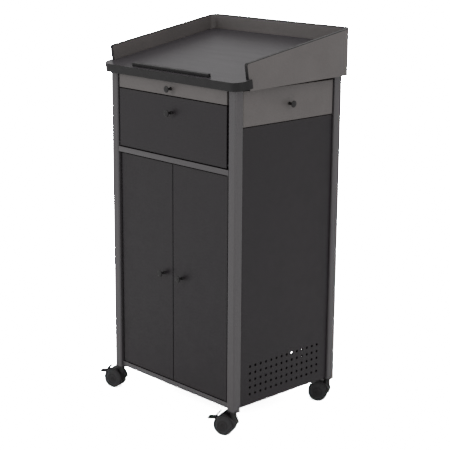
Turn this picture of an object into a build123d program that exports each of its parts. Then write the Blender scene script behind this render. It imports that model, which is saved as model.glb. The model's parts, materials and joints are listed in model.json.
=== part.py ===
from build123d import *
from math import cos, radians, sin, tan
import os

os.makedirs("parts", exist_ok=True)

# Lectern on casters. Millimetres, +Z up, front towards -Y, origin on the floor under the middle.

# Cabinet frame
CABINET_W = 546
CABINET_D = 434
CABINET_X, CABINET_Y = 16, 8       # the cabinet's middle, seen from the middle of the whole outline
LEFT, RIGHT = -CABINET_W / 2, CABINET_W / 2
FRONT, BACK = CABINET_Y - CABINET_D / 2, CABINET_Y + CABINET_D / 2
POST = 30
POST_RADIUS = 5
POST_WALL = 1.5
FOOT_Z = 73
FOOT_T = 4
FOOT_LIP = 0.5                     # a foot stands out this far round its post
FOOT_PLUG = 36
RECESS = 8                         # faces of the doors and panels behind the faces of the posts
FRONT_SET = 2                      # faces of the strip, the flap and the rail under it, likewise
SIDE_SET = 6                       # face of the side shelf's front, likewise
PANEL = 16

# Heights of the boards
BOTTOM_Z = 80.5
MID_Z = 775.5
SUB_TOP_Z = 1002
SIDE_TOP_Z = 908
UPPER_SIDE_Z = 910.5
UPPER_SIDE_TOP = 1012
STRIP_Z, STRIP_TOP = 973, 1015
SHELF_Z = 420

# Sloped board and the gallery around it
SLOPE = radians(9.7)
BOARD_FRONT = -227
BOARD_FRONT_Z = 1040.4
BOARD_T = 25
BOARD_HALF_W = 304
BOARD_CORNER = 40
BAND_T = 1.5
GALLERY_HALF_W = 297
GALLERY_T = 10
GALLERY_BACK = 235.5
GALLERY_CORNER = 25
GALLERY_FRONT = -184.5             # where its front end meets the board's top
GALLERY_OVERLAP = 7                # how far the board's ears run back inside its front ends
GALLERY_BOTTOM_FRONT, GALLERY_BOTTOM_BACK = 1016, 1024.5
GALLERY_TOP_FRONT = 1092
GALLERY_TOP_SLOPE = radians(9.5)
GALLERY_NOSE = 8
STOP_HALF_L, STOP_SETBACK, STOP_DEPTH, STOP_H = 168, 13, 12, 10
STOP_GROOVE = 2                    # the paper stop stands in a groove of this depth
EAR_REBATE = 1                     # the gallery's front ends stand in rebates of this depth

# Openings, panels and hardware
GAP = 8                            # between a door, the flap or the strip and the post beside it
PIVOT_R, BORE_CLEARANCE = 2.5, 0.05
DOOR_PIVOT_Y = FRONT + RECESS + PANEL / 2
FLAP_PIVOT_Y = FRONT + FRONT_SET + PANEL / 2
DOOR_Z, DOOR_TOP = 99.5, 771.5
DOOR_SPLIT = 2.5
FLAP_Z, FLAP_TOP = 795, 970.5
FLAP_PIVOT_Z = 803.5
KNOB_R, KNOB_L, KNOB_HEAD = 10, 20, 4
KNOB_NECK_R, KNOB_BASE_R = 3, 5
DOOR_KNOB_X, DOOR_KNOB_Z = 40.5, 432
STRIP_KNOB_Z, FLAP_KNOB_Z, SIDE_KNOB_Z = 993, 923, 960
HOLE_R = 4.2
VENT_T = 4                         # the panels are this thin where the vent holes are
HOLES_ALONG, HOLES_UP = 14, 5
HOLE_PITCH_ALONG, HOLE_PITCH_UP = 22, 21.5
HOLES_MIDDLE_Z = 156.5

# Casters: sizes in each caster's own upright plane, measured from the stem and up from the floor
WHEEL_R = 31
WHEEL_W = 15
WHEEL_GAP = 10
WHEEL_EDGE_R = 2.5
TRAIL = 26
WHEEL_SPACE_R = WHEEL_R + 1        # room for the wheels inside the hood
HOOD_R = 36.5
HOOD_TOP = 69.2                    # the hood's crown is cut flat here
HOOD_EDGE = [(TRAIL, WHEEL_R), (47.4, 52), (29.4, HOOD_TOP), (-60, HOOD_TOP), (-60, 36)]
HOOD_SLANT = [(51, 48.5), (29.4, HOOD_TOP), (29.4, 90), (80, 90), (80, 48.5)]
WEB_T = WHEEL_GAP - 1.2            # web between the wheels
WEB_LOW = 25
WEB_BOSS_R = 10
HUB_R, HUB_Z, HUB_TOP = 10, 40, FOOT_Z - 0.6
STEM_R, STEM_Z = 5, 52
AXLE_R, AXLE_END_IN = 3, 3         # the axle stops this far inside the wheels' outer faces

# Brake levers of the two front casters
LEVER_U, LEVER_Z = 58, 47
LEVER_HALF_W, LEVER_SLOT = 7, 3.4
LEVER_BOSS_R, LEVER_PIN_R = 4.2, 2
BRACKET_HALF_T, BRACKET_R = 3, 4
BRACKET = [(41, 34), (LEVER_U, 43), (LEVER_U, 51), (41, 54)]
LEVER_TAB = [(58, 42.8), (58, 51.2), (66, 50), (78, 48.5), (81, 45), (79, 40.5), (66, 41.5)]
LEVER_ARM = [(54.6, 49.2), (60.5, 50.5), (42.6, 70.2), (39.4, 67.4)]
LEVER_ROOM = (14, 16)              # cut out of the web around the lever's boss
CASTERS = {
    "front_left": (-1, -1, 197, True),
    "front_right": (1, -1, 203.5, True),
    "rear_left": (-1, 1, 200, False),
    "rear_right": (1, 1, 214, False),
}

SIDE_IN = RIGHT - RECESS - PANEL   # inner faces of the side panels
BACK_IN = BACK - RECESS - PANEL
FRONT_FACE = FRONT + RECESS
FRONT_IN = FRONT_FACE + PANEL
FLUSH_FACE = FRONT + FRONT_SET     # faces of the strip, the flap and the rail under it
FLUSH_IN = FLUSH_FACE + PANEL
SIDE_FRONT_IN = RIGHT - SIDE_SET - PANEL
POST_X = RIGHT - POST              # inner faces of the posts
POST_FRONT_Y, POST_BACK_Y = FRONT + POST, BACK - POST
DOOR_HALF = POST_X - GAP
STEM_X, STEM_Y = RIGHT - POST / 2, CABINET_D / 2 - POST / 2


def save(piece, name):
    """Move one finished piece, drawn about x = 0, to the cabinet's place, label it and write it."""
    finished = piece.part.moved(Location((CABINET_X, 0, 0)))
    finished.label = name
    export_step(finished, f"parts/{name}.step")


def add_block(x, y, z, mode=Mode.ADD):
    """Add a block given its low and high side along each axis."""
    middle = tuple((low + high) / 2 for low, high in (x, y, z))
    with Locations(middle):
        Box(x[1] - x[0], y[1] - y[0], z[1] - z[0], mode=mode)


def add_pin(centre, direction, radius, length, mode=Mode.ADD):
    """Add a round pin that starts at the centre given and runs along the direction."""
    with BuildSketch(Plane(origin=centre, z_dir=direction)) as end_face:
        Circle(radius)
    extrude(end_face.sketch, amount=length, mode=mode)


def board_top_z(y):
    return BOARD_FRONT_Z + (y - BOARD_FRONT) * tan(SLOPE)


def board_under_z(y):
    return board_top_z(y) - BOARD_T / cos(SLOPE)


board_plane = Plane(
    origin=(0, BOARD_FRONT, BOARD_FRONT_Z), x_dir=(1, 0, 0), z_dir=(0, -sin(SLOPE), cos(SLOPE))
)
under_plane = board_plane.offset(-BOARD_T)


# Posts: rounded tubes, cut off along the underside of the sloped board
def post_profile(sx, sy, inset):
    """Square post outline with rounded corners, drawn smaller by inset."""
    side = POST - 2 * inset
    with Locations((sx * STEM_X, CABINET_Y + sy * STEM_Y)):
        RectangleRounded(side, side, POST_RADIUS - inset)


FLAP_BUSH_R, DOOR_BUSH_R = 4, 4.5
for name, (sx, sy, angle, brake) in CASTERS.items():
    with BuildPart() as post:
        with BuildSketch(Plane.XY.offset(FOOT_Z + FOOT_T)):
            post_profile(sx, sy, 0)
        extrude(amount=board_top_z(BACK) - FOOT_Z)
        with BuildSketch(Plane.XY.offset(FOOT_Z + FOOT_T)):
            post_profile(sx, sy, POST_WALL)
        extrude(amount=board_top_z(BACK) - FOOT_Z, mode=Mode.SUBTRACT)
        split(bisect_by=under_plane, keep=Keep.BOTTOM)
        if sy < 0:
            bush_hole = (sx * (POST_X - 1), FLAP_PIVOT_Y, FLAP_PIVOT_Z)
            add_pin(bush_hole, (sx, 0, 0), FLAP_BUSH_R, POST_WALL + 2, Mode.SUBTRACT)
    save(post, f"{name}_post")

# Feet: black plugs in the ends of the posts, which hold the caster stems
with BuildPart() as post_feet:
    for sx, sy, angle, brake in CASTERS.values():
        with BuildSketch(Plane.XY.offset(FOOT_Z)):
            post_profile(sx, sy, -FOOT_LIP)
        extrude(amount=FOOT_T)
        with BuildSketch(Plane.XY.offset(FOOT_Z + FOOT_T)):
            post_profile(sx, sy, POST_WALL)
        extrude(amount=FOOT_PLUG)
        stem_hole = (sx * STEM_X, CABINET_Y + sy * STEM_Y, FOOT_Z)
        add_pin(stem_hole, (0, 0, 1), STEM_R + BORE_CLEARANCE, FOOT_PLUG - 2, Mode.SUBTRACT)
save(post_feet, "post_feet")


# Horizontal boards, notched round the posts
def shelf_outline(front, back):
    """Board between the side panels, narrower where it passes between the posts."""
    middle = (POST_FRONT_Y + POST_BACK_Y) / 2
    with Locations((0, middle)):
        Rectangle(2 * SIDE_IN, POST_BACK_Y - POST_FRONT_Y)
    with Locations((0, (front + back) / 2)):
        Rectangle(2 * POST_X, back - front)


door_pivots = [(side * (DOOR_HALF - PANEL / 2), DOOR_PIVOT_Y) for side in (-1, 1)]
BUSH_L = 10
BUSH_FLANGE, FLANGE_IN = 2, 1      # flange round a bush, and how far it is let into the bottom panel

with BuildPart() as bottom_panel:
    with BuildSketch(Plane.XY.offset(BOTTOM_Z)):
        shelf_outline(FRONT_FACE, BACK_IN)
    extrude(amount=PANEL)
    for x, y in door_pivots:
        add_pin((x, y, BOTTOM_Z + PANEL), (0, 0, -1), DOOR_BUSH_R, BUSH_L, Mode.SUBTRACT)
        add_pin((x, y, BOTTOM_Z + PANEL), (0, 0, -1), DOOR_BUSH_R + BUSH_FLANGE, FLANGE_IN, Mode.SUBTRACT)
save(bottom_panel, "bottom_panel")

with BuildPart() as mid_shelf:
    with BuildSketch(Plane.XY.offset(MID_Z)):
        shelf_outline(FLUSH_FACE, BACK_IN)
    extrude(amount=PANEL)
    for x, y in door_pivots:
        add_pin((x, y, MID_Z), (0, 0, 1), DOOR_BUSH_R, BUSH_L, Mode.SUBTRACT)
save(mid_shelf, "mid_shelf")

SUB_TOP_FRONT = FLUSH_IN + 4
with BuildPart() as sub_top:
    add_block((-POST_X, POST_X), (SUB_TOP_FRONT, BACK_IN), (SUB_TOP_Z, SUB_TOP_Z + PANEL))
save(sub_top, "sub_top")

# Adjustable shelf on four pins
SHELF_PLAY = 1
pin_spots = [(side, y) for side in (-1, 1) for y in (POST_FRONT_Y + 40, POST_BACK_Y - 40)]
SHELF_PIN_IN = 8
with BuildPart() as adjustable_shelf:
    shelf_x = SIDE_IN - SHELF_PLAY
    add_block((-shelf_x, shelf_x), (POST_FRONT_Y + 4, POST_BACK_Y), (SHELF_Z, SHELF_Z + PANEL))
save(adjustable_shelf, "adjustable_shelf")

with BuildPart() as shelf_pins:
    for side, y in pin_spots:
        start = (side * (SIDE_IN - 10), y, SHELF_Z - PIVOT_R)
        add_pin(start, (side, 0, 0), PIVOT_R, 10 + SHELF_PIN_IN)
save(shelf_pins, "shelf_pins")


# Side and back panels, with the field of vent holes low down
def cut_vents(plane):
    """Thin a panel behind its vents and cut the holes; the plane lies on its inner face and looks out."""
    with BuildSketch(plane) as thinned:
        Rectangle(HOLE_PITCH_ALONG * HOLES_ALONG, HOLE_PITCH_UP * HOLES_UP)
    extrude(thinned.sketch, amount=PANEL - VENT_T, mode=Mode.SUBTRACT)
    with BuildSketch(plane) as vents:
        with GridLocations(HOLE_PITCH_ALONG, HOLE_PITCH_UP, HOLES_ALONG, HOLES_UP):
            Circle(HOLE_R)
    extrude(vents.sketch, amount=PANEL, mode=Mode.SUBTRACT)


for side, name in ((-1, "left_side_panel"), (1, "right_side_panel")):
    with BuildPart() as side_panel:
        span = sorted((side * SIDE_IN, side * (SIDE_IN + PANEL)))
        add_block(span, (POST_FRONT_Y, POST_BACK_Y), (BOTTOM_Z, SIDE_TOP_Z))
        middle = (side * SIDE_IN, CABINET_Y, HOLES_MIDDLE_Z)
        cut_vents(Plane(origin=middle, x_dir=(0, 1, 0), z_dir=(side, 0, 0)))
        for pin_side, y in pin_spots:
            if pin_side == side:
                hole = (side * SIDE_IN, y, SHELF_Z - PIVOT_R)
                add_pin(hole, (side, 0, 0), PIVOT_R, SHELF_PIN_IN, Mode.SUBTRACT)
    save(side_panel, name)

with BuildPart() as left_upper_panel:
    add_block((-SIDE_IN - PANEL, -SIDE_IN), (POST_FRONT_Y, POST_BACK_Y), (SIDE_TOP_Z, UPPER_SIDE_TOP))
save(left_upper_panel, "left_upper_panel")

with BuildPart() as back_panel:
    add_block((-POST_X, POST_X), (BACK_IN, BACK_IN + PANEL), (BOTTOM_Z, SUB_TOP_Z + PANEL))
    cut_vents(Plane(origin=(0, BACK_IN, HOLES_MIDDLE_Z), x_dir=(1, 0, 0), z_dir=(0, 1, 0)))
save(back_panel, "back_panel")

# Cheeks and back rail that carry the sloped board
CHEEK_FRONT = POST_FRONT_Y + 2
with BuildPart() as board_cheeks:
    for side in (-1, 1):
        span = sorted((side * POST_X, side * (POST_X - PANEL)))
        add_block(span, (CHEEK_FRONT, BACK_IN), (SUB_TOP_Z + PANEL, board_top_z(BACK)))
    cheek_x = POST_X - PANEL
    add_block((-cheek_x, cheek_x), (BACK_IN - PANEL, BACK_IN), (SUB_TOP_Z + PANEL, board_top_z(BACK)))
    split(bisect_by=under_plane, keep=Keep.BOTTOM)
save(board_cheeks, "board_cheeks")


# Sloped board: full width at its front, inside the gallery behind that
def gallery_plan(inset):
    """Plan of the gallery's outer face, or of its inner face when inset by its wall."""
    half_w = GALLERY_HALF_W - inset
    back = GALLERY_BACK - inset
    with Locations((0, back - 300)):
        plan = Rectangle(2 * half_w, 600)
    fillet(plan.vertices().group_by(Axis.Y)[-1], GALLERY_CORNER - inset)


EAR_BACK = GALLERY_FRONT + GALLERY_OVERLAP
EAR_LENGTH = (EAR_BACK - BOARD_FRONT) / cos(SLOPE)
REBATE_START = (GALLERY_FRONT - BOARD_FRONT) / cos(SLOPE)


def ear_outline(inset, length):
    """Front stretch of the board in its own plane, with rounded front corners."""
    half_w = BOARD_HALF_W - inset
    with Locations((0, (inset + length) / 2)):
        front_part = Rectangle(2 * half_w, length - inset)
    fillet(front_part.vertices().group_by(Axis.Y)[0], BOARD_CORNER - inset)


def stop_outline():
    """Plan of the paper stop, near the board's front edge."""
    with Locations((0, STOP_SETBACK + STOP_DEPTH / 2)):
        SlotOverall(2 * STOP_HALF_L, STOP_DEPTH)


with BuildPart() as top_board:
    with BuildSketch(under_plane):
        with Locations((0, 250)):
            Rectangle(2 * (GALLERY_HALF_W - GALLERY_T), 460)
    extrude(amount=BOARD_T)
    with BuildSketch(Plane.XY.offset(SUB_TOP_Z)):
        gallery_plan(GALLERY_T)
    extrude(amount=200, mode=Mode.INTERSECT)
    with BuildSketch(under_plane):
        ear_outline(BAND_T, EAR_LENGTH)
    extrude(amount=BOARD_T)
    with BuildSketch(board_plane):
        stop_outline()
    extrude(amount=-STOP_GROOVE, mode=Mode.SUBTRACT)
    with BuildSketch(board_plane):
        rebate_middle = (GALLERY_HALF_W - GALLERY_T / 2, (REBATE_START + EAR_LENGTH) / 2)
        with Locations(rebate_middle, (-rebate_middle[0], rebate_middle[1])):
            Rectangle(GALLERY_T, EAR_LENGTH - REBATE_START)
    extrude(amount=-EAR_REBATE, mode=Mode.SUBTRACT)
save(top_board, "top_board")

with BuildPart() as board_edge_band:
    with BuildSketch(under_plane):
        ear_outline(0, EAR_LENGTH)
    extrude(amount=BOARD_T)
    with BuildSketch(under_plane):
        ear_outline(BAND_T, EAR_LENGTH + 1)
    extrude(amount=BOARD_T, mode=Mode.SUBTRACT)
save(board_edge_band, "board_edge_band")

with BuildPart() as paper_stop:
    with BuildSketch(board_plane.offset(-STOP_GROOVE)):
        stop_outline()
    extrude(amount=STOP_GROOVE + STOP_H)
    fillet(paper_stop.faces().sort_by(Axis.Z)[-1].edges(), 1.5)
save(paper_stop, "paper_stop")


# Gallery: a bent wall round the back and sides, open at the front, with a dark band on its edge
def gallery_side(inset):
    """Side view of the gallery, drawn smaller by inset along its top and front edges."""
    lean = sin(SLOPE)
    board_z = board_top_z(GALLERY_FRONT)
    front_y = GALLERY_FRONT + inset / cos(SLOPE)
    low = (front_y + (board_z - GALLERY_BOTTOM_FRONT) * lean, GALLERY_BOTTOM_FRONT)
    top_z = GALLERY_TOP_FRONT - inset / cos(GALLERY_TOP_SLOPE)
    nose_y = front_y - (top_z - board_z) * lean
    back_top = top_z + (GALLERY_BACK - nose_y) * tan(GALLERY_TOP_SLOPE)
    corners = [low, (GALLERY_BACK, GALLERY_BOTTOM_BACK), (GALLERY_BACK, back_top), (nose_y, top_z)]
    outline = Polygon(*corners, align=None)
    fillet(outline.vertices().sort_by(Axis.X)[0], GALLERY_NOSE - inset)


def gallery_wall(inset):
    """Solid of the gallery wall within the side view given."""
    with BuildPart() as wall:
        with BuildSketch(Plane(origin=(0, 0, 0), x_dir=(0, 1, 0), z_dir=(1, 0, 0))):
            gallery_side(inset)
        extrude(amount=GALLERY_HALF_W + 1, both=True)
        with BuildSketch(Plane.XY.offset(SUB_TOP_Z)):
            gallery_plan(0)
        extrude(amount=200, mode=Mode.INTERSECT)
        with BuildSketch(Plane.XY.offset(SUB_TOP_Z)):
            gallery_plan(GALLERY_T)
        extrude(amount=200, mode=Mode.SUBTRACT)
        with BuildSketch(under_plane):
            ear_outline(0, EAR_LENGTH)
        extrude(amount=BOARD_T - EAR_REBATE, mode=Mode.SUBTRACT)
    return wall


gallery = gallery_wall(BAND_T)
save(gallery, "gallery")

with BuildPart() as gallery_edge_band:
    add(gallery_wall(0).part)
    add(gallery.part, mode=Mode.SUBTRACT)
save(gallery_edge_band, "gallery_edge_band")


# Knobs: a neck that tapers towards a round, flat head
def knob(centre, direction):
    with BuildPart() as piece:
        with Locations(Plane(origin=centre, z_dir=direction)):
            Cone(KNOB_BASE_R, KNOB_NECK_R, KNOB_L, align=(Align.CENTER, Align.CENTER, Align.MIN))
        head = Vector(*centre) + Vector(*direction) * (KNOB_L - KNOB_HEAD)
        add_pin(head, direction, KNOB_R, KNOB_HEAD)
        rims = piece.edges().filter_by(GeomType.CIRCLE).filter_by(lambda e: e.radius > KNOB_R - 0.1)
        fillet(rims, 1.5)
    return piece


# Pull-out writing shelf under the board
SHELF_HALF, WRITING_Z, WRITING_BACK = 200, 976, 165
SLIDE_CLEAR, CHANNEL_WALL, CHANNEL_W, CHANNEL_H = 0.4, 1.2, 17, 20
with BuildPart() as writing_shelf:
    add_block((-SHELF_HALF, SHELF_HALF), (FLUSH_IN, WRITING_BACK), (WRITING_Z, WRITING_Z + PANEL))
save(writing_shelf, "writing_shelf")

with BuildPart() as writing_shelf_front:
    add_block((-DOOR_HALF, DOOR_HALF), (FLUSH_FACE, FLUSH_IN), (STRIP_Z, STRIP_TOP))
    fillet(writing_shelf_front.faces().sort_by(Axis.Y)[0].edges(), 1)
save(writing_shelf_front, "writing_shelf_front")
save(knob((0, FLUSH_FACE, STRIP_KNOB_Z), (0, -1, 0)), "writing_shelf_knob")

slide_out = SHELF_HALF + CHANNEL_W - CHANNEL_WALL - SLIDE_CLEAR
slide_low = WRITING_Z - 2 + CHANNEL_WALL + SLIDE_CLEAR
slide_high = WRITING_Z - 2 + CHANNEL_H - CHANNEL_WALL - SLIDE_CLEAR
with BuildPart() as writing_shelf_slides:
    for side in (-1, 1):
        span = sorted((side * SHELF_HALF, side * slide_out))
        add_block(span, (FLUSH_IN, WRITING_BACK), (slide_low, slide_high))
save(writing_shelf_slides, "writing_shelf_slides")

with BuildPart() as writing_shelf_runners:
    for side in (-1, 1):
        outer = SHELF_HALF + CHANNEL_W
        along = (SUB_TOP_FRONT, WRITING_BACK + 5)
        low, high = WRITING_Z - 2, WRITING_Z - 2 + CHANNEL_H
        web = sorted((side * (outer - CHANNEL_WALL), side * outer))
        lip = sorted((side * (SHELF_HALF + 5), side * outer))
        add_block(web, along, (low, SUB_TOP_Z))
        add_block(lip, along, (low, low + CHANNEL_WALL))
        add_block(lip, along, (high - CHANNEL_WALL, high))
        add_block(sorted((side * outer, side * (outer + 12))), along, (SUB_TOP_Z - CHANNEL_WALL, SUB_TOP_Z))
save(writing_shelf_runners, "writing_shelf_runners")

# Pull-out shelf on the right side
SIDE_HALF, SIDE_SHELF_Z, SIDE_SHELF_LEFT = 148, 916, -190
with BuildPart() as side_shelf:
    along = (CABINET_Y - SIDE_HALF, CABINET_Y + SIDE_HALF)
    add_block((SIDE_SHELF_LEFT, SIDE_FRONT_IN), along, (SIDE_SHELF_Z, SIDE_SHELF_Z + PANEL))
save(side_shelf, "side_shelf")

with BuildPart() as side_shelf_front:
    along = (POST_FRONT_Y + 4, POST_BACK_Y - 4)
    add_block((SIDE_FRONT_IN, SIDE_FRONT_IN + PANEL), along, (UPPER_SIDE_Z, UPPER_SIDE_TOP))
    fillet(side_shelf_front.faces().sort_by(Axis.X)[-1].edges(), 1)
save(side_shelf_front, "side_shelf_front")
save(knob((SIDE_FRONT_IN + PANEL, CABINET_Y, SIDE_KNOB_Z), (1, 0, 0)), "side_shelf_knob")

side_low = SIDE_SHELF_Z - 2
with BuildPart() as side_shelf_slides:
    for side in (-1, 1):
        inner = CABINET_Y + side * SIDE_HALF
        outer = CABINET_Y + side * (SIDE_HALF + CHANNEL_W - CHANNEL_WALL - SLIDE_CLEAR)
        low = side_low + CHANNEL_WALL + SLIDE_CLEAR
        high = side_low + CHANNEL_H - CHANNEL_WALL - SLIDE_CLEAR
        add_block((SIDE_SHELF_LEFT, SIDE_FRONT_IN), sorted((inner, outer)), (low, high))
save(side_shelf_slides, "side_shelf_slides")

RAIL_Z = SIDE_TOP_Z - 20
with BuildPart() as side_shelf_runners:
    for side in (-1, 1):
        outer = SIDE_HALF + CHANNEL_W
        along = (SIDE_SHELF_LEFT - 5, SIDE_IN - 4)
        high = side_low + CHANNEL_H
        web = sorted(CABINET_Y + side * d for d in (outer - CHANNEL_WALL, outer))
        lip = sorted(CABINET_Y + side * d for d in (SIDE_HALF + 5, outer))
        foot = sorted(CABINET_Y + side * d for d in (outer, outer + 14))
        add_block(along, web, (SIDE_TOP_Z, high))
        add_block(along, lip, (side_low, side_low + CHANNEL_WALL))
        add_block(along, lip, (high - CHANNEL_WALL, high))
        add_block(along, foot, (SIDE_TOP_Z, SIDE_TOP_Z + CHANNEL_WALL))
save(side_shelf_runners, "side_shelf_runners")

with BuildPart() as cross_rails:
    for side in (-1, 1):
        near = CABINET_Y + side * (SIDE_HALF + CHANNEL_W - 1)
        far = near + side * PANEL
        add_block((-SIDE_IN, SIDE_IN), sorted((near, far)), (RAIL_Z, SIDE_TOP_Z))
save(cross_rails, "cross_rails")

# Drop-down flap on two pins at its lower corners
PIN_IN = 12
PIN_REACH = 7
with BuildPart() as flap:
    add_block((-DOOR_HALF, DOOR_HALF), (FLUSH_FACE, FLUSH_IN), (FLAP_Z, FLAP_TOP))
    fillet(flap.faces().sort_by(Axis.Y)[0].edges(), 1)
    for side in (-1, 1):
        hole = (side * (DOOR_HALF - PIN_IN), FLAP_PIVOT_Y, FLAP_PIVOT_Z)
        add_pin(hole, (side, 0, 0), PIVOT_R, PIN_IN, Mode.SUBTRACT)
save(flap, "flap")

with BuildPart() as flap_pins:
    for side in (-1, 1):
        start = (side * (DOOR_HALF - PIN_IN), FLAP_PIVOT_Y, FLAP_PIVOT_Z)
        add_pin(start, (side, 0, 0), PIVOT_R, PIN_IN + GAP + PIN_REACH)
save(flap_pins, "flap_pins")
save(knob((0, FLUSH_FACE, FLAP_KNOB_Z), (0, -1, 0)), "flap_knob")

# Doors on upright pins near their outer edges
for side, name in ((-1, "left_door"), (1, "right_door")):
    pivot_x = side * (DOOR_HALF - PANEL / 2)
    with BuildPart() as door:
        span = sorted((side * DOOR_SPLIT / 2, side * DOOR_HALF))
        add_block(span, (FRONT_FACE, FRONT_IN), (DOOR_Z, DOOR_TOP))
        fillet(door.faces().sort_by(Axis.Y)[0].edges(), 1)
        add_pin((pivot_x, DOOR_PIVOT_Y, DOOR_Z), (0, 0, 1), PIVOT_R, PIN_IN, Mode.SUBTRACT)
        add_pin((pivot_x, DOOR_PIVOT_Y, DOOR_TOP), (0, 0, -1), PIVOT_R, PIN_IN, Mode.SUBTRACT)
    save(door, name)
    with BuildPart() as door_pins:
        add_pin((pivot_x, DOOR_PIVOT_Y, DOOR_Z + PIN_IN), (0, 0, -1), PIVOT_R, PIN_IN + 11)
        add_pin((pivot_x, DOOR_PIVOT_Y, DOOR_TOP - PIN_IN), (0, 0, 1), PIVOT_R, PIN_IN + 12)
    save(door_pins, f"{name}_pins")
    save(knob((side * DOOR_KNOB_X, FRONT_FACE, DOOR_KNOB_Z), (0, -1, 0)), f"{name}_knob")

# Flanged bushes that the pins turn in
with BuildPart() as pivot_bushes:
    for x, y in door_pivots:
        low, high = BOTTOM_Z + PANEL, MID_Z
        add_pin((x, y, low), (0, 0, -1), DOOR_BUSH_R, BUSH_L)
        add_pin((x, y, low - FLANGE_IN), (0, 0, 1), DOOR_BUSH_R + BUSH_FLANGE, FLANGE_IN + DOOR_Z - low - 0.3)
        add_pin((x, y, high), (0, 0, 1), DOOR_BUSH_R, BUSH_L)
        add_pin((x, y, high), (0, 0, -1), DOOR_BUSH_R + BUSH_FLANGE, 1.5)
        add_pin((x, y, low - BUSH_L), (0, 0, 1), PIVOT_R + BORE_CLEARANCE, BUSH_L + 3, Mode.SUBTRACT)
        add_pin((x, y, high - 2), (0, 0, 1), PIVOT_R + BORE_CLEARANCE, BUSH_L + 2, Mode.SUBTRACT)
    for side in (-1, 1):
        wall = (side * POST_X, FLAP_PIVOT_Y, FLAP_PIVOT_Z)
        add_pin(wall, (-side, 0, 0), FLAP_BUSH_R + 1, GAP - 2)
        add_pin(wall, (side, 0, 0), FLAP_BUSH_R, POST_WALL + 1.5)
        bore = (side * (POST_X - GAP), FLAP_PIVOT_Y, FLAP_PIVOT_Z)
        add_pin(bore, (side, 0, 0), PIVOT_R + BORE_CLEARANCE, 2 * GAP, Mode.SUBTRACT)
save(pivot_bushes, "pivot_bushes")

with BuildPart() as door_catches:
    for side in (-1, 1):
        span = sorted((side * 10, side * 50))
        add_block(span, (FRONT_IN + 1, FRONT_IN + 17), (MID_Z - 12, MID_Z))
    fillet(door_catches.edges().filter_by(Axis.Z), 2)
save(door_catches, "door_catches")

# Casters
def at_axle(radius, mode=Mode.ADD):
    """Circle round the axle, in a sketch on a caster's upright plane."""
    with Locations((TRAIL, WHEEL_R)):
        Circle(radius, mode=mode)


def web_outline(brake):
    """Web between the wheels: cut flat below, along the hood's slant and round the brake lever."""
    at_axle(WHEEL_SPACE_R + 1)
    with Locations((TRAIL, 0)):
        Rectangle(2 * HOOD_R, 2 * WEB_LOW, mode=Mode.SUBTRACT)
    Polygon(*HOOD_SLANT, align=None, mode=Mode.SUBTRACT)
    at_axle(WEB_BOSS_R)
    if brake:
        with Locations((LEVER_U, LEVER_Z)):
            Rectangle(*LEVER_ROOM, mode=Mode.SUBTRACT)


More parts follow.
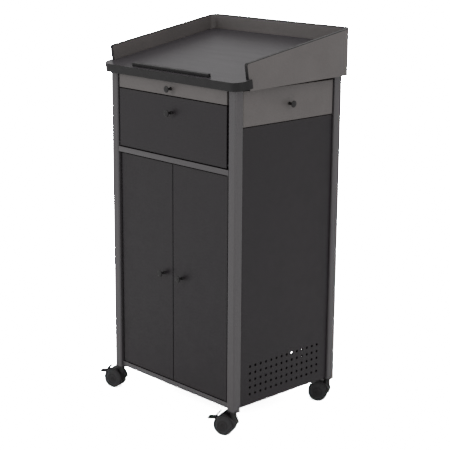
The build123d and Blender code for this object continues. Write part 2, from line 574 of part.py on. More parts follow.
for name, (sx, sy, angle, brake) in CASTERS.items():
    stem = Vector(sx * STEM_X, CABINET_Y + sy * STEM_Y, 0)
    trail = Vector(cos(radians(angle)), sin(radians(angle)), 0)
    across = Vector(trail.Y, -trail.X, 0)
    upright = Plane(origin=stem, x_dir=trail, z_dir=across)
    wheels_half = WHEEL_GAP / 2 + WHEEL_W

    with BuildPart() as hood:
        with BuildSketch(upright) as shell:
            at_axle(HOOD_R)
            at_axle(WHEEL_SPACE_R, Mode.SUBTRACT)
            Polygon(*HOOD_EDGE, align=None, mode=Mode.INTERSECT)
        extrude(shell.sketch, amount=wheels_half, both=True)
        add_pin(stem + Vector(0, 0, HUB_Z), (0, 0, 1), HUB_R, HUB_TOP - HUB_Z)
        with BuildSketch(upright) as wheel_space:
            at_axle(WHEEL_SPACE_R)
        extrude(wheel_space.sketch, amount=wheels_half + 1, both=True, mode=Mode.SUBTRACT)
        with BuildSketch(upright) as web:
            web_outline(brake)
        extrude(web.sketch, amount=WEB_T / 2, both=True)
        if brake:
            with BuildSketch(upright) as bracket:
                Polygon(*BRACKET, align=None)
                with Locations((LEVER_U, LEVER_Z)):
                    Circle(BRACKET_R)
            extrude(bracket.sketch, amount=BRACKET_HALF_T, both=True)
        add_pin(stem + Vector(0, 0, STEM_Z), (0, 0, 1), STEM_R, HUB_TOP, Mode.SUBTRACT)
        with BuildSketch(upright) as pin_holes:
            at_axle(AXLE_R)
            if brake:
                with Locations((LEVER_U, LEVER_Z)):
                    Circle(LEVER_PIN_R + BORE_CLEARANCE)
        extrude(pin_holes.sketch, amount=wheels_half, both=True, mode=Mode.SUBTRACT)
    save(hood, f"{name}_caster_hood")

    with BuildPart() as caster_stem:
        stem_top = FOOT_Z + FOOT_PLUG - 6
        add_pin(stem + Vector(0, 0, STEM_Z), (0, 0, 1), STEM_R, stem_top - STEM_Z)
    save(caster_stem, f"{name}_caster_stem")

    with BuildPart() as axle:
        with BuildSketch(upright):
            at_axle(AXLE_R)
        extrude(amount=wheels_half - AXLE_END_IN, both=True)
    save(axle, f"{name}_caster_axle")

    with BuildPart() as wheels:
        for turn in (-1, 1):
            inner_face = upright.offset(turn * WHEEL_GAP / 2)
            with BuildSketch(inner_face) as disc:
                at_axle(WHEEL_R)
            extrude(disc.sketch, amount=turn * WHEEL_W)
            with BuildSketch(inner_face) as bore:
                at_axle(AXLE_R + BORE_CLEARANCE)
            bore_depth = WHEEL_W - AXLE_END_IN + 0.5
            extrude(bore.sketch, amount=turn * bore_depth, mode=Mode.SUBTRACT)
        rims = wheels.edges().filter_by(GeomType.CIRCLE).filter_by(lambda e: e.radius > WHEEL_R - 0.1)
        fillet(rims, WHEEL_EDGE_R)
    save(wheels, f"{name}_caster_wheels")

    if brake:
        with BuildPart() as lever:
            with BuildSketch(upright) as body:
                with Locations((LEVER_U, LEVER_Z)):
                    Circle(LEVER_BOSS_R)
                Polygon(*LEVER_TAB, align=None)
                Polygon(*LEVER_ARM, align=None)
            extrude(body.sketch, amount=LEVER_HALF_W, both=True)
            with BuildSketch(upright) as slot:
                with Locations((LEVER_U - 4, LEVER_Z - 2)):
                    Rectangle(20, 24)
            extrude(slot.sketch, amount=LEVER_SLOT, both=True, mode=Mode.SUBTRACT)
            with BuildSketch(upright) as pin:
                with Locations((LEVER_U, LEVER_Z)):
                    Circle(LEVER_PIN_R)
            extrude(pin.sketch, amount=LEVER_HALF_W, both=True)
        save(lever, f"{name}_brake_lever")
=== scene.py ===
"""Looks of a rolling lectern with a cupboard, a flap and two pull-out shelves."""

import json
from math import cos, radians, sin

import bpy
from bpy.props import FloatProperty, FloatVectorProperty, PointerProperty
from mathutils import Matrix, Vector


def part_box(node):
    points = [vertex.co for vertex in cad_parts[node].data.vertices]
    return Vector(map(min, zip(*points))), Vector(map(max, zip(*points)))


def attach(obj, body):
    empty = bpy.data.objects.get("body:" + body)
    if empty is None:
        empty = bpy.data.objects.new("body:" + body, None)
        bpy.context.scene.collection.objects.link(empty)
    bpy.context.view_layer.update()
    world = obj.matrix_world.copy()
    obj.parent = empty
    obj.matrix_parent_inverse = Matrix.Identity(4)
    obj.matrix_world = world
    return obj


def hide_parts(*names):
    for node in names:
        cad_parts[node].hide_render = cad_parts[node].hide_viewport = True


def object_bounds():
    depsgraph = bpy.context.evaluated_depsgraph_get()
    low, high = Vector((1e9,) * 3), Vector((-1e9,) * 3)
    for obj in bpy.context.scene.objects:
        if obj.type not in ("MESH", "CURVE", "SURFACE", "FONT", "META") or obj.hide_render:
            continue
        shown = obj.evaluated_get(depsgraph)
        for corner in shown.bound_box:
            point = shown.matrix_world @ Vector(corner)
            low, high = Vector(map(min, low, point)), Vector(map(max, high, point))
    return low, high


bl_info = {
    "name": "Rolling Lectern",
    "version": (1, 0, 0),
    "blender": (4, 5, 0),
    "location": "3D View > Sidebar > Lectern",
    "description": "Finishes, edge strips, knobs, wheels, hoods and stage of a lectern on casters",
    "category": "Object",
}

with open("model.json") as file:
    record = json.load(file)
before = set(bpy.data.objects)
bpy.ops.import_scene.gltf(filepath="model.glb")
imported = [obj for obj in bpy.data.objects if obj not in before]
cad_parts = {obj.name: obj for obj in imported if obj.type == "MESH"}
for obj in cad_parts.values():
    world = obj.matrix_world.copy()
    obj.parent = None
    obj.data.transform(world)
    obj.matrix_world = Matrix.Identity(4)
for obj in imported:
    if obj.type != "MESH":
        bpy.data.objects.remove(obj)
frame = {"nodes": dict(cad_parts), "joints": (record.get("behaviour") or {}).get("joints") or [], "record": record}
CAD_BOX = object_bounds()
CASTERS = ("front_left", "front_right", "rear_left", "rear_right")
BRAKED = ("front_left", "front_right")
MM = 0.001
WELD_DISTANCE = 1e-6
# faces that meet at less than this are shaded smooth, on new pieces and on hoods and levers
SMOOTH_ANGLE = radians(32)
HOOD_SMOOTH_ANGLE = radians(40)
# edges of hoods and levers sharper than this are rounded
SHARP_ANGLE = radians(35)

# camera rays see the floor and the surroundings this much brighter, so that both read as white
WHITE_GAIN = 80.0

# name of a light: its place in metres, its side in metres and its power in watts
SOFTBOXES = {
    "key_softbox": ((-1.7, -3.6, 2.2), 1.7, 36),
    "side_softbox": ((3.5, 0.1, 2.5), 1.9, 14),
    "fill_softbox": ((3.4, -1.9, 1.1), 1.4, 13),
    "top_softbox": ((0.2, 0.2, 3.4), 2.4, 4),
}

# the camera's place in metres, its angles in degrees, and its lens and sensor in millimetres
CAMERA_PLACE = (2.8432, -2.6612, 1.5422)
CAMERA_AZIMUTH, CAMERA_PITCH, CAMERA_ROLL = 46.614, 14.291, 0.357
CAMERA_LENS, CAMERA_SENSOR = 104.55, 36


def linear(hex_colour):
    """Turn an sRGB hex colour into linear red, green and blue."""
    channels = [int(hex_colour[i : i + 2], 16) / 255 for i in (1, 3, 5)]
    return [c / 12.92 if c <= 0.04045 else ((c + 0.055) / 1.055) ** 2.4 for c in channels]


# Settings -------------------------------------------------------------------------------------


def colour_setting(name, description, hex_colour):
    """Colour that a user may change, with its default as an sRGB hex value."""
    colour = linear(hex_colour)
    return FloatVectorProperty(
        name=name, description=description, subtype="COLOR", size=3, min=0, max=1, default=colour
    )


def length_setting(name, description, millimetres):
    """Length that a user may change, with its default in millimetres."""
    metres = millimetres * MM
    return FloatProperty(
        name=name, description=description, unit="LENGTH", min=0, default=metres
    )


class LecternFinishes(bpy.types.PropertyGroup):
    charcoal: colour_setting("Charcoal board", "Doors, flap and fixed panels", "#1a1519")
    grey: colour_setting("Grey board", "Front strip, side shelf front and gallery", "#585453")
    board: colour_setting("Board top", "Laminate of the sloped board", "#413e41")
    post: colour_setting("Posts", "Powder coat of the corner posts and edge strips", "#413e40")
    band: colour_setting("Edge band", "Band round the board and the gallery", "#0e0c0e")
    knob: colour_setting("Knobs", "Knobs and feet", "#1a1819")
    caster: colour_setting("Casters", "Hoods, wheels and brake levers", "#141113")
    tread: colour_setting("Treads", "Soft ring round each wheel", "#1c1b1d")
    zinc: colour_setting("Zinc plate", "Pins, axles and caster stems", "#b9bdc2")
    sheet: colour_setting("Galvanised sheet", "Runners and slides of the shelves", "#8b8e91")
    bush: colour_setting("Bushes", "Pivot bushes and door catches", "#161617")


class LecternSizes(bpy.types.PropertyGroup):
    strip: length_setting("Edge strip", "How far an edge strip stands out of its board", 0.8)
    strip_bevel: length_setting("Strip rounding", "Rounding of an edge strip", 0.4)
    tread: length_setting("Tread", "Thickness of the soft ring round a wheel", 3.5)
    softening: length_setting("Hood rounding", "Rounding of the edges of hoods and levers", 0.7)


class LecternSettings(bpy.types.PropertyGroup):
    finishes: PointerProperty(
        type=LecternFinishes, name="Finishes", description="Colours of the finishes"
    )
    sizes: PointerProperty(
        type=LecternSizes, name="Sizes", description="Sizes of the added pieces"
    )


# Materials ------------------------------------------------------------------------------------


def add_node(tree, kind, settings=None, links=None):
    """Add a node. A key with a capital or a number is a socket, any other key is a property."""
    node = tree.nodes.new(kind)
    for key, value in (settings or {}).items():
        if isinstance(key, int) or key[0].isupper():
            node.inputs[key].default_value = value
        else:
            setattr(node, key, value)
    for key, source in (links or {}).items():
        tree.links.new(source, node.inputs[key])
    return node


def start_material(name, values):
    """New material with the values set on its shader, and the piece's own coordinates in metres."""
    material = bpy.data.materials.new(name)
    material.use_nodes = True
    tree = material.node_tree
    shader = next(n for n in tree.nodes if n.type == "BSDF_PRINCIPLED")
    for key, value in values.items():
        shader.inputs[key].default_value = value
    return material, tree, shader, add_node(tree, "ShaderNodeTexCoord").outputs["Object"]


def cloud(tree, place, size, low, high, detail=2.0):
    """Soft random pattern with features of the given size in metres, spread from low to high."""
    texture = {"Scale": 1 / size, "Detail": detail}
    noise = add_node(tree, "ShaderNodeTexNoise", texture, {"Vector": place})
    spread = {"From Min": 0.3, "From Max": 0.7, "To Min": low, "To Max": high}
    ranged = add_node(tree, "ShaderNodeMapRange", spread, {"Value": noise.outputs["Fac"]})
    return ranged.outputs["Result"]


# sockets of the colour mix node: its factor, its two colours and its result
MIX_FACTOR, MIX_DARK, MIX_LIGHT, MIX_RESULT = 0, 6, 7, 2


def tinted(colour, gain):
    """Brighter or darker colour, with its alpha."""
    return [min(1, c * gain) for c in colour] + [1]


def tone(tree, factor, colour, dark, light):
    """Colour that runs from a darker to a lighter shade of itself as the factor rises from 0."""
    shades = {
        "data_type": "RGBA", MIX_DARK: tinted(colour, dark), MIX_LIGHT: tinted(colour, light)
    }
    return add_node(tree, "ShaderNodeMix", shades, {MIX_FACTOR: factor}).outputs[MIX_RESULT]


def blended(tree, fine, coarse, share):
    """Sum of two patterns, in which the fine one has the given share."""
    rest = {"operation": "MULTIPLY", 1: 1 - share}
    faded = add_node(tree, "ShaderNodeMath", rest, {0: coarse}).outputs[0]
    total = {"operation": "MULTIPLY_ADD", 1: share}
    return add_node(tree, "ShaderNodeMath", total, {0: fine, 2: faded}).outputs[0]


def relief(tree, shader, height, depth, strength, softened=None):
    """Bump of the given depth in metres. A softened edge of the given radius catches the light."""
    links = {"Height": height}
    if softened:
        edge = add_node(tree, "ShaderNodeBevel", {"samples": 6, "Radius": softened})
        links["Normal"] = edge.outputs["Normal"]
    bump = add_node(tree, "ShaderNodeBump", {"Distance": depth, "Strength": strength}, links)
    tree.links.new(bump.outputs["Normal"], shader.inputs["Normal"])


def melamine(name, colour):
    """Melamine-faced chipboard: printed paper in hard resin, pressed with a pearl plate.

    The eye gets an even matt grey, broken by a fine pebble and by very slight clouding.
    """
    material, tree, shader, place = start_material(name, {"IOR": 1.5, "Specular IOR Level": 0.36})
    clouding = cloud(tree, place, 0.09, 0, 1, 3)
    # the real pebble is about 0.6 mm across; it is drawn at 2.2 mm so that it shows
    pebble = cloud(tree, place, 0.0022, 0, 1)
    both = blended(tree, pebble, clouding, 0.55)
    tree.links.new(tone(tree, both, colour, 0.88, 1.13), shader.inputs["Base Color"])
    tree.links.new(cloud(tree, place, 0.03, 0.38, 0.46), shader.inputs["Roughness"])
    relief(tree, shader, pebble, depth=0.00012, strength=0.5, softened=0.0006)
    return material


def laminate(name, colour):
    """High-pressure laminate with a satin press: harder and glossier than the panels.

    The eye gets soft reflections of what stands on it, and faint marks from wiping along its width.
    """
    material, tree, shader, place = start_material(name, {"IOR": 1.52, "Specular IOR Level": 0.1})
    stretch = {"Scale": (0.12, 1, 1)}
    along = add_node(tree, "ShaderNodeMapping", stretch, {"Vector": place}).outputs[0]
    wiped = cloud(tree, along, 0.012, 0, 1, 4)
    grain = cloud(tree, place, 0.0025, 0, 1)
    both = blended(tree, grain, wiped, 0.5)
    tree.links.new(tone(tree, both, colour, 0.97, 1.03), shader.inputs["Base Color"])
    tree.links.new(cloud(tree, along, 0.02, 0.31, 0.34, 3), shader.inputs["Roughness"])
    relief(tree, shader, grain, depth=0.00006, strength=0.5)
    return material


def powder_coat(name, colour):
    """Polyester powder coat on steel tube: melted powder flows into a low orange peel.

    The eye gets a satin metal grey whose highlight wobbles a little along the tube.
    """
    finish = {"IOR": 1.5, "Coat Weight": 0.15, "Coat Roughness": 0.3}
    material, tree, shader, place = start_material(name, finish)
    # orange peel waves are 2 to 4 mm long
    peel = cloud(tree, place, 0.003, 0, 1, 1)
    tree.links.new(tone(tree, peel, colour, 0.95, 1.05), shader.inputs["Base Color"])
    tree.links.new(cloud(tree, place, 0.05, 0.34, 0.42), shader.inputs["Roughness"])
    relief(tree, shader, peel, depth=0.00008, strength=0.6, softened=0.0005)
    return material


def extruded_abs(name, colour):
    """Extruded ABS edge band: drawn through a die, so it has faint lines along its length.

    The eye gets a near-black satin edge with a thin bright line where it turns.
    """
    material, tree, shader, place = start_material(name, {"IOR": 1.53, "Specular IOR Level": 0.3})
    stretch = {"Scale": (0.05, 0.05, 1)}
    across = add_node(tree, "ShaderNodeMapping", stretch, {"Vector": place}).outputs[0]
    lines = cloud(tree, across, 0.0018, 0, 1, 1)
    tree.links.new(tone(tree, lines, colour, 0.9, 1.12), shader.inputs["Base Color"])
    tree.links.new(cloud(tree, place, 0.02, 0.4, 0.5), shader.inputs["Roughness"])
    relief(tree, shader, lines, depth=0.00005, strength=0.5, softened=0.0005)
    return material


def moulded_abs(name, colour):
    """Injection-moulded ABS from a satin mould, with slight flow marks and a little dust.

    The eye gets a soft black whose edges catch a little light.
    """
    material, tree, shader, place = start_material(name, {"IOR": 1.53, "Specular IOR Level": 0.3})
    flow = cloud(tree, place, 0.006, 0, 1, 3)
    dust = cloud(tree, place, 0.0012, 0, 1, 4)
    tree.links.new(tone(tree, dust, colour, 0.9, 1.2), shader.inputs["Base Color"])
    tree.links.new(cloud(tree, place, 0.004, 0.36, 0.46, 3), shader.inputs["Roughness"])
    relief(tree, shader, flow, depth=0.00004, strength=0.4)
    return material


def textured_nylon(name, colour):
    """Glass-filled nylon from a spark-eroded mould: a fine even grit that scatters highlights.

    The eye gets a dull black with greyer scuffs.
    """
    material, tree, shader, place = start_material(name, {"IOR": 1.53, "Specular IOR Level": 0.36})
    # the eroded grit is about 0.3 mm; it is drawn at 1 mm so that it shows
    grit = cloud(tree, place, 0.001, 0, 1)
    scuffs = cloud(tree, place, 0.014, 0, 1, 5)
    tree.links.new(tone(tree, scuffs, colour, 0.82, 1.25), shader.inputs["Base Color"])
    tree.links.new(cloud(tree, place, 0.009, 0.42, 0.56, 3), shader.inputs["Roughness"])
    relief(tree, shader, grit, depth=0.00012, strength=0.6, softened=0.0006)
    return material


def polyurethane(name, colour):
    """Cast polyurethane tread: rubbery and matt, with floor dust pressed into it."""
    material, tree, shader, place = start_material(name, {"IOR": 1.5})
    dust = cloud(tree, place, 0.003, 0, 1, 5)
    tree.links.new(tone(tree, dust, colour, 0.8, 1.5), shader.inputs["Base Color"])
    tree.links.new(cloud(tree, place, 0.006, 0.5, 0.72, 4), shader.inputs["Roughness"])
    relief(tree, shader, dust, depth=0.0001, strength=0.5)
    return material


def zinc_plate(name, colour):
    """Bright zinc plate on turned steel: a bluish white metal with slight clouding."""
    material, tree, shader, place = start_material(name, {"Metallic": 1.0})
    clouding = cloud(tree, place, 0.004, 0, 1, 3)
    tree.links.new(tone(tree, clouding, colour, 0.85, 1.08), shader.inputs["Base Color"])
    tree.links.new(cloud(tree, place, 0.002, 0.24, 0.38, 3), shader.inputs["Roughness"])
    relief(tree, shader, clouding, depth=0.00002, strength=0.4)
    return material


def galvanised_sheet(name, colour):
    """Roll-formed galvanised sheet: flat crystals about 9 mm across, dulled by handling."""
    material, tree, shader, place = start_material(name, {"Metallic": 1.0})
    spangle = add_node(tree, "ShaderNodeTexVoronoi", {"Scale": 1 / 0.009}, {"Vector": place})
    spread = {"From Min": 0.2, "From Max": 0.8, "To Min": 0.0, "To Max": 1.0}
    facets = {"Value": spangle.outputs["Color"]}
    crystal = add_node(tree, "ShaderNodeMapRange", spread, facets).outputs[0]
    tree.links.new(tone(tree, crystal, colour, 0.86, 1.06), shader.inputs["Base Color"])
    tree.links.new(cloud(tree, place, 0.009, 0.3, 0.48, 2), shader.inputs["Roughness"])
    rub = cloud(tree, place, 0.001, 0, 1)
    relief(tree, shader, rub, depth=0.00003, strength=0.4, softened=0.0003)
    return material


def acetal(name, colour):
    """Acetal turned from black rod: a waxy black with faint lines from the tool."""
    material, tree, shader, place = start_material(name, {"IOR": 1.48})
    turned_lines = cloud(tree, place, 0.0007, 0, 1, 1)
    tree.links.new(tone(tree, turned_lines, colour, 0.92, 1.03), shader.inputs["Base Color"])
    tree.links.new(cloud(tree, place, 0.003, 0.32, 0.45), shader.inputs["Roughness"])
    relief(tree, shader, turned_lines, depth=0.00003, strength=0.4)
    return material


# material slot of the frame's record: name of its material, how it is made, its colour setting
FINISHES = {
    "charcoal_laminate": ("charcoal_melamine", melamine, "charcoal"),
    "grey_laminate": ("grey_melamine", melamine, "grey"),
    "board_grey": ("satin_laminate", laminate, "board"),
    "post_grey": ("powder_coated_steel", powder_coat, "post"),
    "edge_band": ("extruded_abs", extruded_abs, "band"),
    "black_plastic": ("moulded_abs", moulded_abs, "knob"),
    "caster_plastic": ("textured_nylon", textured_nylon, "caster"),
    "wheel_tread": ("polyurethane", polyurethane, "tread"),
    "steel": ("zinc_plated_steel", zinc_plate, "zinc"),
    "runner_steel": ("galvanised_sheet", galvanised_sheet, "sheet"),
    "bush_plastic": ("black_acetal", acetal, "bush"),
}


def finish_named(slot):
    """The material made for a slot."""
    return bpy.data.materials[FINISHES[slot][0]]


# Modelling helpers ----------------------------------------------------------------------------


def pick(*pieces):
    """Leave edit mode, deselect everything, then select these pieces."""
    if bpy.context.object and bpy.context.object.mode != "OBJECT":
        bpy.ops.object.mode_set(mode="OBJECT")
    bpy.ops.object.select_all(action="DESELECT")
    for piece in pieces:
        piece.select_set(True)
    if pieces:
        bpy.context.view_layer.objects.active = pieces[0]


def tidy_mesh():
    """In edit mode, merge doubles and turn all faces outwards."""
    bpy.ops.mesh.select_all(action="SELECT")
    bpy.ops.mesh.remove_doubles(threshold=WELD_DISTANCE)
    bpy.ops.mesh.normals_make_consistent(inside=False)
    bpy.ops.object.mode_set(mode="OBJECT")


def turned(name, profile, sides=64):
    """Round piece about Z: a disc, extruded and resized from one (radius, height) to the next."""
    pick()
    radius, height = profile[0]
    bpy.ops.mesh.primitive_circle_add(
        vertices=sides, radius=radius * MM, fill_type="NGON", location=(0, 0, height * MM)
    )
    piece = bpy.context.object
    piece.name = name
    bpy.ops.object.mode_set(mode="EDIT")
    for next_radius, next_height in profile[1:]:
        rise = (next_height - height) * MM
        bpy.ops.mesh.extrude_region_move(TRANSFORM_OT_translate={"value": (0, 0, rise)})
        gain = next_radius / radius
        bpy.ops.transform.resize(value=(gain, gain, 1), center_override=(0, 0, next_height * MM))
        radius, height = next_radius, next_height
    tidy_mesh()
    pick(piece)
    bpy.ops.object.shade_smooth_by_angle(angle=SMOOTH_ANGLE)
    return piece


def rounded_bar(name, low, high, rounding):
    """Bar between two corners, with its edges rounded."""
    pick()
    middle = [(a + b) / 2 for a, b in zip(low, high)]
    size = [b - a for a, b in zip(low, high)]
    bpy.ops.mesh.primitive_cube_add(size=1, location=middle, scale=size)
    piece = bpy.context.object
    piece.name = name
    bpy.ops.object.transform_apply(location=False, rotation=False, scale=True)
    bpy.ops.object.mode_set(mode="EDIT")
    bpy.ops.mesh.select_all(action="SELECT")
    bpy.ops.mesh.bevel(offset=rounding, segments=3, affect="EDGES")
    tidy_mesh()
    pick(piece)
    bpy.ops.object.shade_smooth_by_angle(angle=SMOOTH_ANGLE)
    return piece


def placed_copy(original, name, matrix):
    """Copy with its own mesh, put in place by a matrix."""
    pick(original)
    bpy.ops.object.duplicate(linked=False)
    piece = bpy.context.object
    piece.name = name
    piece.parent = None
    piece.matrix_world = matrix
    return piece


def joined(pieces, name):
    """Join several copies into one piece."""
    pick(*pieces)
    bpy.ops.object.join()
    piece = bpy.context.object
    piece.name = name
    return piece


def settle(piece, slot, body):
    """Put the piece's place into its mesh, give it its finish, and let it ride on its body."""
    pick(piece)
    bpy.ops.object.transform_apply(location=True, rotation=True, scale=True)
    piece.data.materials.clear()
    piece.data.materials.append(finish_named(slot))
    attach(piece, body)


def softened(node, name, rounding, body):
    """Copy of a caster part of the frame with its sharp edges rounded, which stands for it."""
    piece = placed_copy(frame["nodes"][node], name, Matrix.Identity(4))
    for key in [key for key in piece.keys() if key.startswith("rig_")]:
        del piece[key]
    bpy.ops.object.mode_set(mode="EDIT")
    tidy_mesh()
    bevel = piece.modifiers.new("rounding", "BEVEL")
    bevel.width, bevel.segments, bevel.angle_limit = rounding, 2, SHARP_ANGLE
    bpy.ops.object.modifier_apply(modifier=bevel.name)
    bpy.ops.object.shade_smooth_by_angle(angle=HOOD_SMOOTH_ANGLE)
    settle(piece, "caster_plastic", body)
    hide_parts(node)


def joint(name):
    """Row of the frame's joint with this name."""
    return next(j for j in frame["joints"] if j["name"] == name)


def turned_to(centre, axis):
    """Matrix that takes a piece modelled about Z to a centre and an axis."""
    axis = Vector(axis).normalized()
    side = Vector((0, 0, 1)).cross(axis).normalized()
    turn = Matrix((side, axis.cross(side), axis)).transposed().to_4x4()
    return Matrix.Translation(centre) @ turn


# Operators ------------------------------------------------------------------------------------


class LECTERN_OT_stage(bpy.types.Operator):
    """Make the pale floor, the soft studio light and the camera"""

    bl_idname = "lectern.stage"
    bl_label = "Stage"

    def execute(self, context):
        pick()
        bpy.ops.mesh.primitive_plane_add(size=60, location=(0, 0, 0))
        floor = bpy.context.object
        floor.name = "studio_floor"
        floor.data.materials.append(self.floor_paint())
        self.sky(context.scene)
        for name, (place, size, power) in SOFTBOXES.items():
            self.softbox(context.scene, name, place, size, power)
        self.camera(context.scene)
        return {"FINISHED"}

    def floor_paint(self):
        """Seamless studio paper, overexposed for the camera so that it reads as white."""
        material, tree, shader, place = start_material("studio_paper", {"Roughness": 0.9})
        seen = add_node(tree, "ShaderNodeLightPath").outputs["Is Camera Ray"]
        paper = cloud(tree, place, 0.002, 0.88, 0.92)
        brighter = {"To Min": 1.0, "To Max": WHITE_GAIN}
        gain = add_node(tree, "ShaderNodeMapRange", brighter, {"Value": seen}).outputs[0]
        white = add_node(tree, "ShaderNodeMath", {"operation": "MULTIPLY"}, {0: paper, 1: gain})
        flat = add_node(tree, "ShaderNodeBsdfDiffuse", {}, {"Color": white.outputs[0]})
        output = next(n for n in tree.nodes if n.type == "OUTPUT_MATERIAL")
        tree.links.new(flat.outputs[0], output.inputs["Surface"])
        tree.nodes.remove(shader)
        return material

    def sky(self, scene):
        """Even white surroundings, brighter where the camera looks straight at them."""
        world = bpy.data.worlds.new("white_studio")
        world.use_nodes = True
        tree = world.node_tree
        background = next(n for n in tree.nodes if n.type == "BACKGROUND")
        seen = add_node(tree, "ShaderNodeLightPath").outputs["Is Camera Ray"]
        brighter = {"To Min": 0.92, "To Max": WHITE_GAIN}
        strength = add_node(tree, "ShaderNodeMapRange", brighter, {"Value": seen})
        background.inputs["Color"].default_value = (1, 1, 1, 1)
        tree.links.new(strength.outputs[0], background.inputs["Strength"])
        scene.world = world

    def softbox(self, scene, name, place, size, power):
        """Square area light that looks at the middle of the lectern."""
        light = bpy.data.lights.new(name, "AREA")
        light.shape, light.size, light.energy = "SQUARE", size, power
        box = bpy.data.objects.new(name, light)
        scene.collection.objects.link(box)
        box.location = place
        middle = (CAD_BOX[0] + CAD_BOX[1]) / 2
        box.rotation_euler = (middle - Vector(place)).to_track_quat("-Z", "Y").to_euler()

    def camera(self, scene):
        """Long lens from the front right, a little above the board."""
        azimuth, pitch, roll = radians(CAMERA_AZIMUTH), radians(CAMERA_PITCH), radians(CAMERA_ROLL)
        look = Vector((-sin(azimuth) * cos(pitch), cos(azimuth) * cos(pitch), -sin(pitch)))
        right = look.cross(Vector((0, 0, 1))).normalized()
        up = right.cross(look)
        across = right * cos(roll) + up * sin(roll)
        upward = up * cos(roll) - right * sin(roll)
        lens = bpy.data.cameras.new("camera")
        lens.lens, lens.sensor_width = CAMERA_LENS, CAMERA_SENSOR
        camera = bpy.data.objects.new("camera", lens)
        scene.collection.objects.link(camera)
        turn = Matrix((across, upward, -look)).transposed().to_4x4()
        camera.matrix_world = Matrix.Translation(CAMERA_PLACE) @ turn
        scene.camera = camera


class LECTERN_OT_finishes(bpy.types.Operator):
    """Give every part of the frame its finish"""

    bl_idname = "lectern.finishes"
    bl_label = "Finishes"

    def execute(self, context):
        colours = context.scene.lectern.finishes
        for name, make, colour in FINISHES.values():
            make(name, getattr(colours, colour))
        slots = {row["node"]: row["material_slot"] for row in frame["record"]["subparts"]}
        for name, node in frame["nodes"].items():
            node.data.materials.clear()
            node.data.materials.append(finish_named(slots[name]))
        return {"FINISHED"}


# how far an edge strip reaches into its board
STRIP_SINK = 0.2 * MM


class LECTERN_OT_edge_strips(bpy.types.Operator):
    """Lay grey edge strips along the front edges of the boards between the posts"""

    bl_idname = "lectern.edge_strips"
    bl_label = "Edge strips"

    def execute(self, context):
        sizes = context.scene.lectern.sizes
        for node in ("mid_shelf", "bottom_panel"):
            low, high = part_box(node)
            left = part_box("front_left_post")[1].x
            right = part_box("front_right_post")[0].x
            start = (left, low.y - sizes.strip, low.z)
            end = (right, low.y + STRIP_SINK, high.z)
            strip = rounded_bar(f"{node}_edge_strip", start, end, sizes.strip_bevel)
            settle(strip, "post_grey", "cabinet")
        return {"FINISHED"}


# (radius, height) in millimetres, from the face that the knob stands on to the top of its head
KNOB_PROFILE = [
    (5, 0), (5, 0.6), (4.8, 1), (4.3, 2.2), (3.9, 4), (3.5, 7), (3.1, 11), (2.9, 14.4),
    (3.1, 15.3), (3.9, 15.8), (6, 16.1), (8.8, 16.2), (9.6, 16.5), (10, 17.2), (10, 18),
    (9.7, 18.8), (9, 19.3), (7.5, 19.7), (4, 19.95), (1, 20),
]
# node of a knob: the body that it moves with, and the way that it points
KNOBS = {
    "writing_shelf_knob": ("writing_shelf", (0, -1, 0)),
    "side_shelf_knob": ("side_shelf", (1, 0, 0)),
    "flap_knob": ("flap", (0, -1, 0)),
    "left_door_knob": ("left_door", (0, -1, 0)),
    "right_door_knob": ("right_door", (0, -1, 0)),
}


class LECTERN_OT_knobs(bpy.types.Operator):
    """Turn the five knobs: a neck that tapers towards a flat, round head"""

    bl_idname = "lectern.knobs"
    bl_label = "Knobs"

    def execute(self, context):
        pattern = turned("knob_pattern", KNOB_PROFILE, sides=48)
        for node, (body, axis) in KNOBS.items():
            low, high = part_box(node)
            length = abs((high - low).dot(Vector(axis)))
            foot = (low + high) / 2 - Vector(axis) * length / 2
            name = node.replace("_knob", "_turned_knob")
            knob = placed_copy(pattern, name, turned_to(foot, axis))
            settle(knob, "black_plastic", body)
            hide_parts(node)
        bpy.data.objects.remove(pattern)
        return {"FINISHED"}


# (radius, height) in millimetres from the inner face of one wheel to its outer face
WHEEL_WEB = [
    (6, 0.2), (6, 0.9), (24, 0.9), (25.5, 0.5), (27.6, 0.5), (27.6, 14.3), (26.9, 14.8),
    (26.2, 14.8), (25.4, 14.2), (24.6, 13.9), (22, 14.1), (15, 14.7), (11.5, 14.85),
    (10.6, 14.3), (9.9, 14.3), (9.2, 14.8), (6, 15), (2, 15),
]
WHEEL_RADIUS = 31
# from the middle of a caster to the inner face of each wheel, in millimetres
WHEEL_INSET = 5


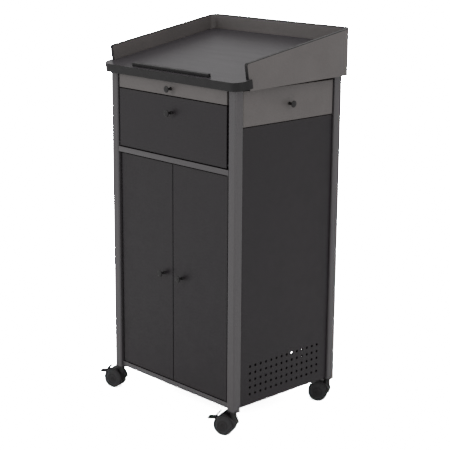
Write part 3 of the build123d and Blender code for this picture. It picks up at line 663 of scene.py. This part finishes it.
class LECTERN_OT_wheels(bpy.types.Operator):
    """Model the twin wheels of the casters, with their soft treads"""

    bl_idname = "lectern.wheels"
    bl_label = "Wheels"

    def execute(self, context):
        tread = context.scene.lectern.sizes.tread / MM
        edge = WHEEL_RADIUS
        inner = edge - tread
        ring = [
            (inner, 0.3), (edge - 2.2, 0.3), (edge - 0.9, 0.8), (edge - 0.2, 1.9), (edge, 3.2),
            (edge, 11.8), (edge - 0.2, 13.1), (edge - 0.9, 14.2), (edge - 2.2, 14.7), (inner, 14.7),
        ]
        web_pattern = turned("wheel_pattern", WHEEL_WEB)
        tread_pattern = turned("tread_pattern", ring, sides=96)
        for name in CASTERS:
            row = joint(f"{name}_roll")
            axis, centre = Vector(row["axis"]), Vector(row["pos_m"])
            webs, treads = [], []
            for side in (-1, 1):
                place = turned_to(centre + axis * side * WHEEL_INSET * MM, axis * side)
                webs.append(placed_copy(web_pattern, f"{name}_web", place))
                treads.append(placed_copy(tread_pattern, f"{name}_tread", place))
            web = joined(webs, f"{name}_wheel_webs")
            settle(web, "caster_plastic", f"{name}_wheels")
            tyre = joined(treads, f"{name}_treads")
            settle(tyre, "wheel_tread", f"{name}_wheels")
            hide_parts(f"{name}_caster_wheels")
        bpy.data.objects.remove(web_pattern)
        bpy.data.objects.remove(tread_pattern)
        return {"FINISHED"}


class LECTERN_OT_hoods(bpy.types.Operator):
    """Round the edges of the caster hoods and of the brake levers"""

    bl_idname = "lectern.hoods"
    bl_label = "Hoods and levers"

    def execute(self, context):
        rounding = context.scene.lectern.sizes.softening
        for name in CASTERS:
            softened(f"{name}_caster_hood", f"{name}_hood", rounding, f"{name}_caster")
        for name in BRAKED:
            softened(f"{name}_brake_lever", f"{name}_lever", rounding, f"{name}_brake")
        return {"FINISHED"}


class LECTERN_PT_sidebar(bpy.types.Panel):
    """Settings and steps of the lectern"""

    bl_idname = "LECTERN_PT_sidebar"
    bl_label = "Rolling Lectern"
    bl_space_type = "VIEW_3D"
    bl_region_type = "UI"
    bl_category = "Lectern"

    def draw(self, context):
        settings = context.scene.lectern
        for group in (settings.finishes, settings.sizes):
            box = self.layout.box()
            for name in group.__annotations__:
                box.prop(group, name)
        for step in STEPS:
            self.layout.operator(step.bl_idname)


SETTINGS = (LecternFinishes, LecternSizes, LecternSettings)
STEPS = (
    LECTERN_OT_stage,
    LECTERN_OT_finishes,
    LECTERN_OT_edge_strips,
    LECTERN_OT_knobs,
    LECTERN_OT_wheels,
    LECTERN_OT_hoods,
)


def register():
    for cls in SETTINGS + STEPS + (LECTERN_PT_sidebar,):
        bpy.utils.register_class(cls)
    bpy.types.Scene.lectern = PointerProperty(type=LecternSettings)


def unregister():
    del bpy.types.Scene.lectern
    for cls in reversed(SETTINGS + STEPS + (LECTERN_PT_sidebar,)):
        bpy.utils.unregister_class(cls)


def main():
    register()
    bpy.ops.lectern.stage()
    bpy.ops.lectern.finishes()
    bpy.ops.lectern.edge_strips()
    bpy.ops.lectern.knobs()
    bpy.ops.lectern.wheels()
    bpy.ops.lectern.hoods()


if __name__ == "__main__":
    main()
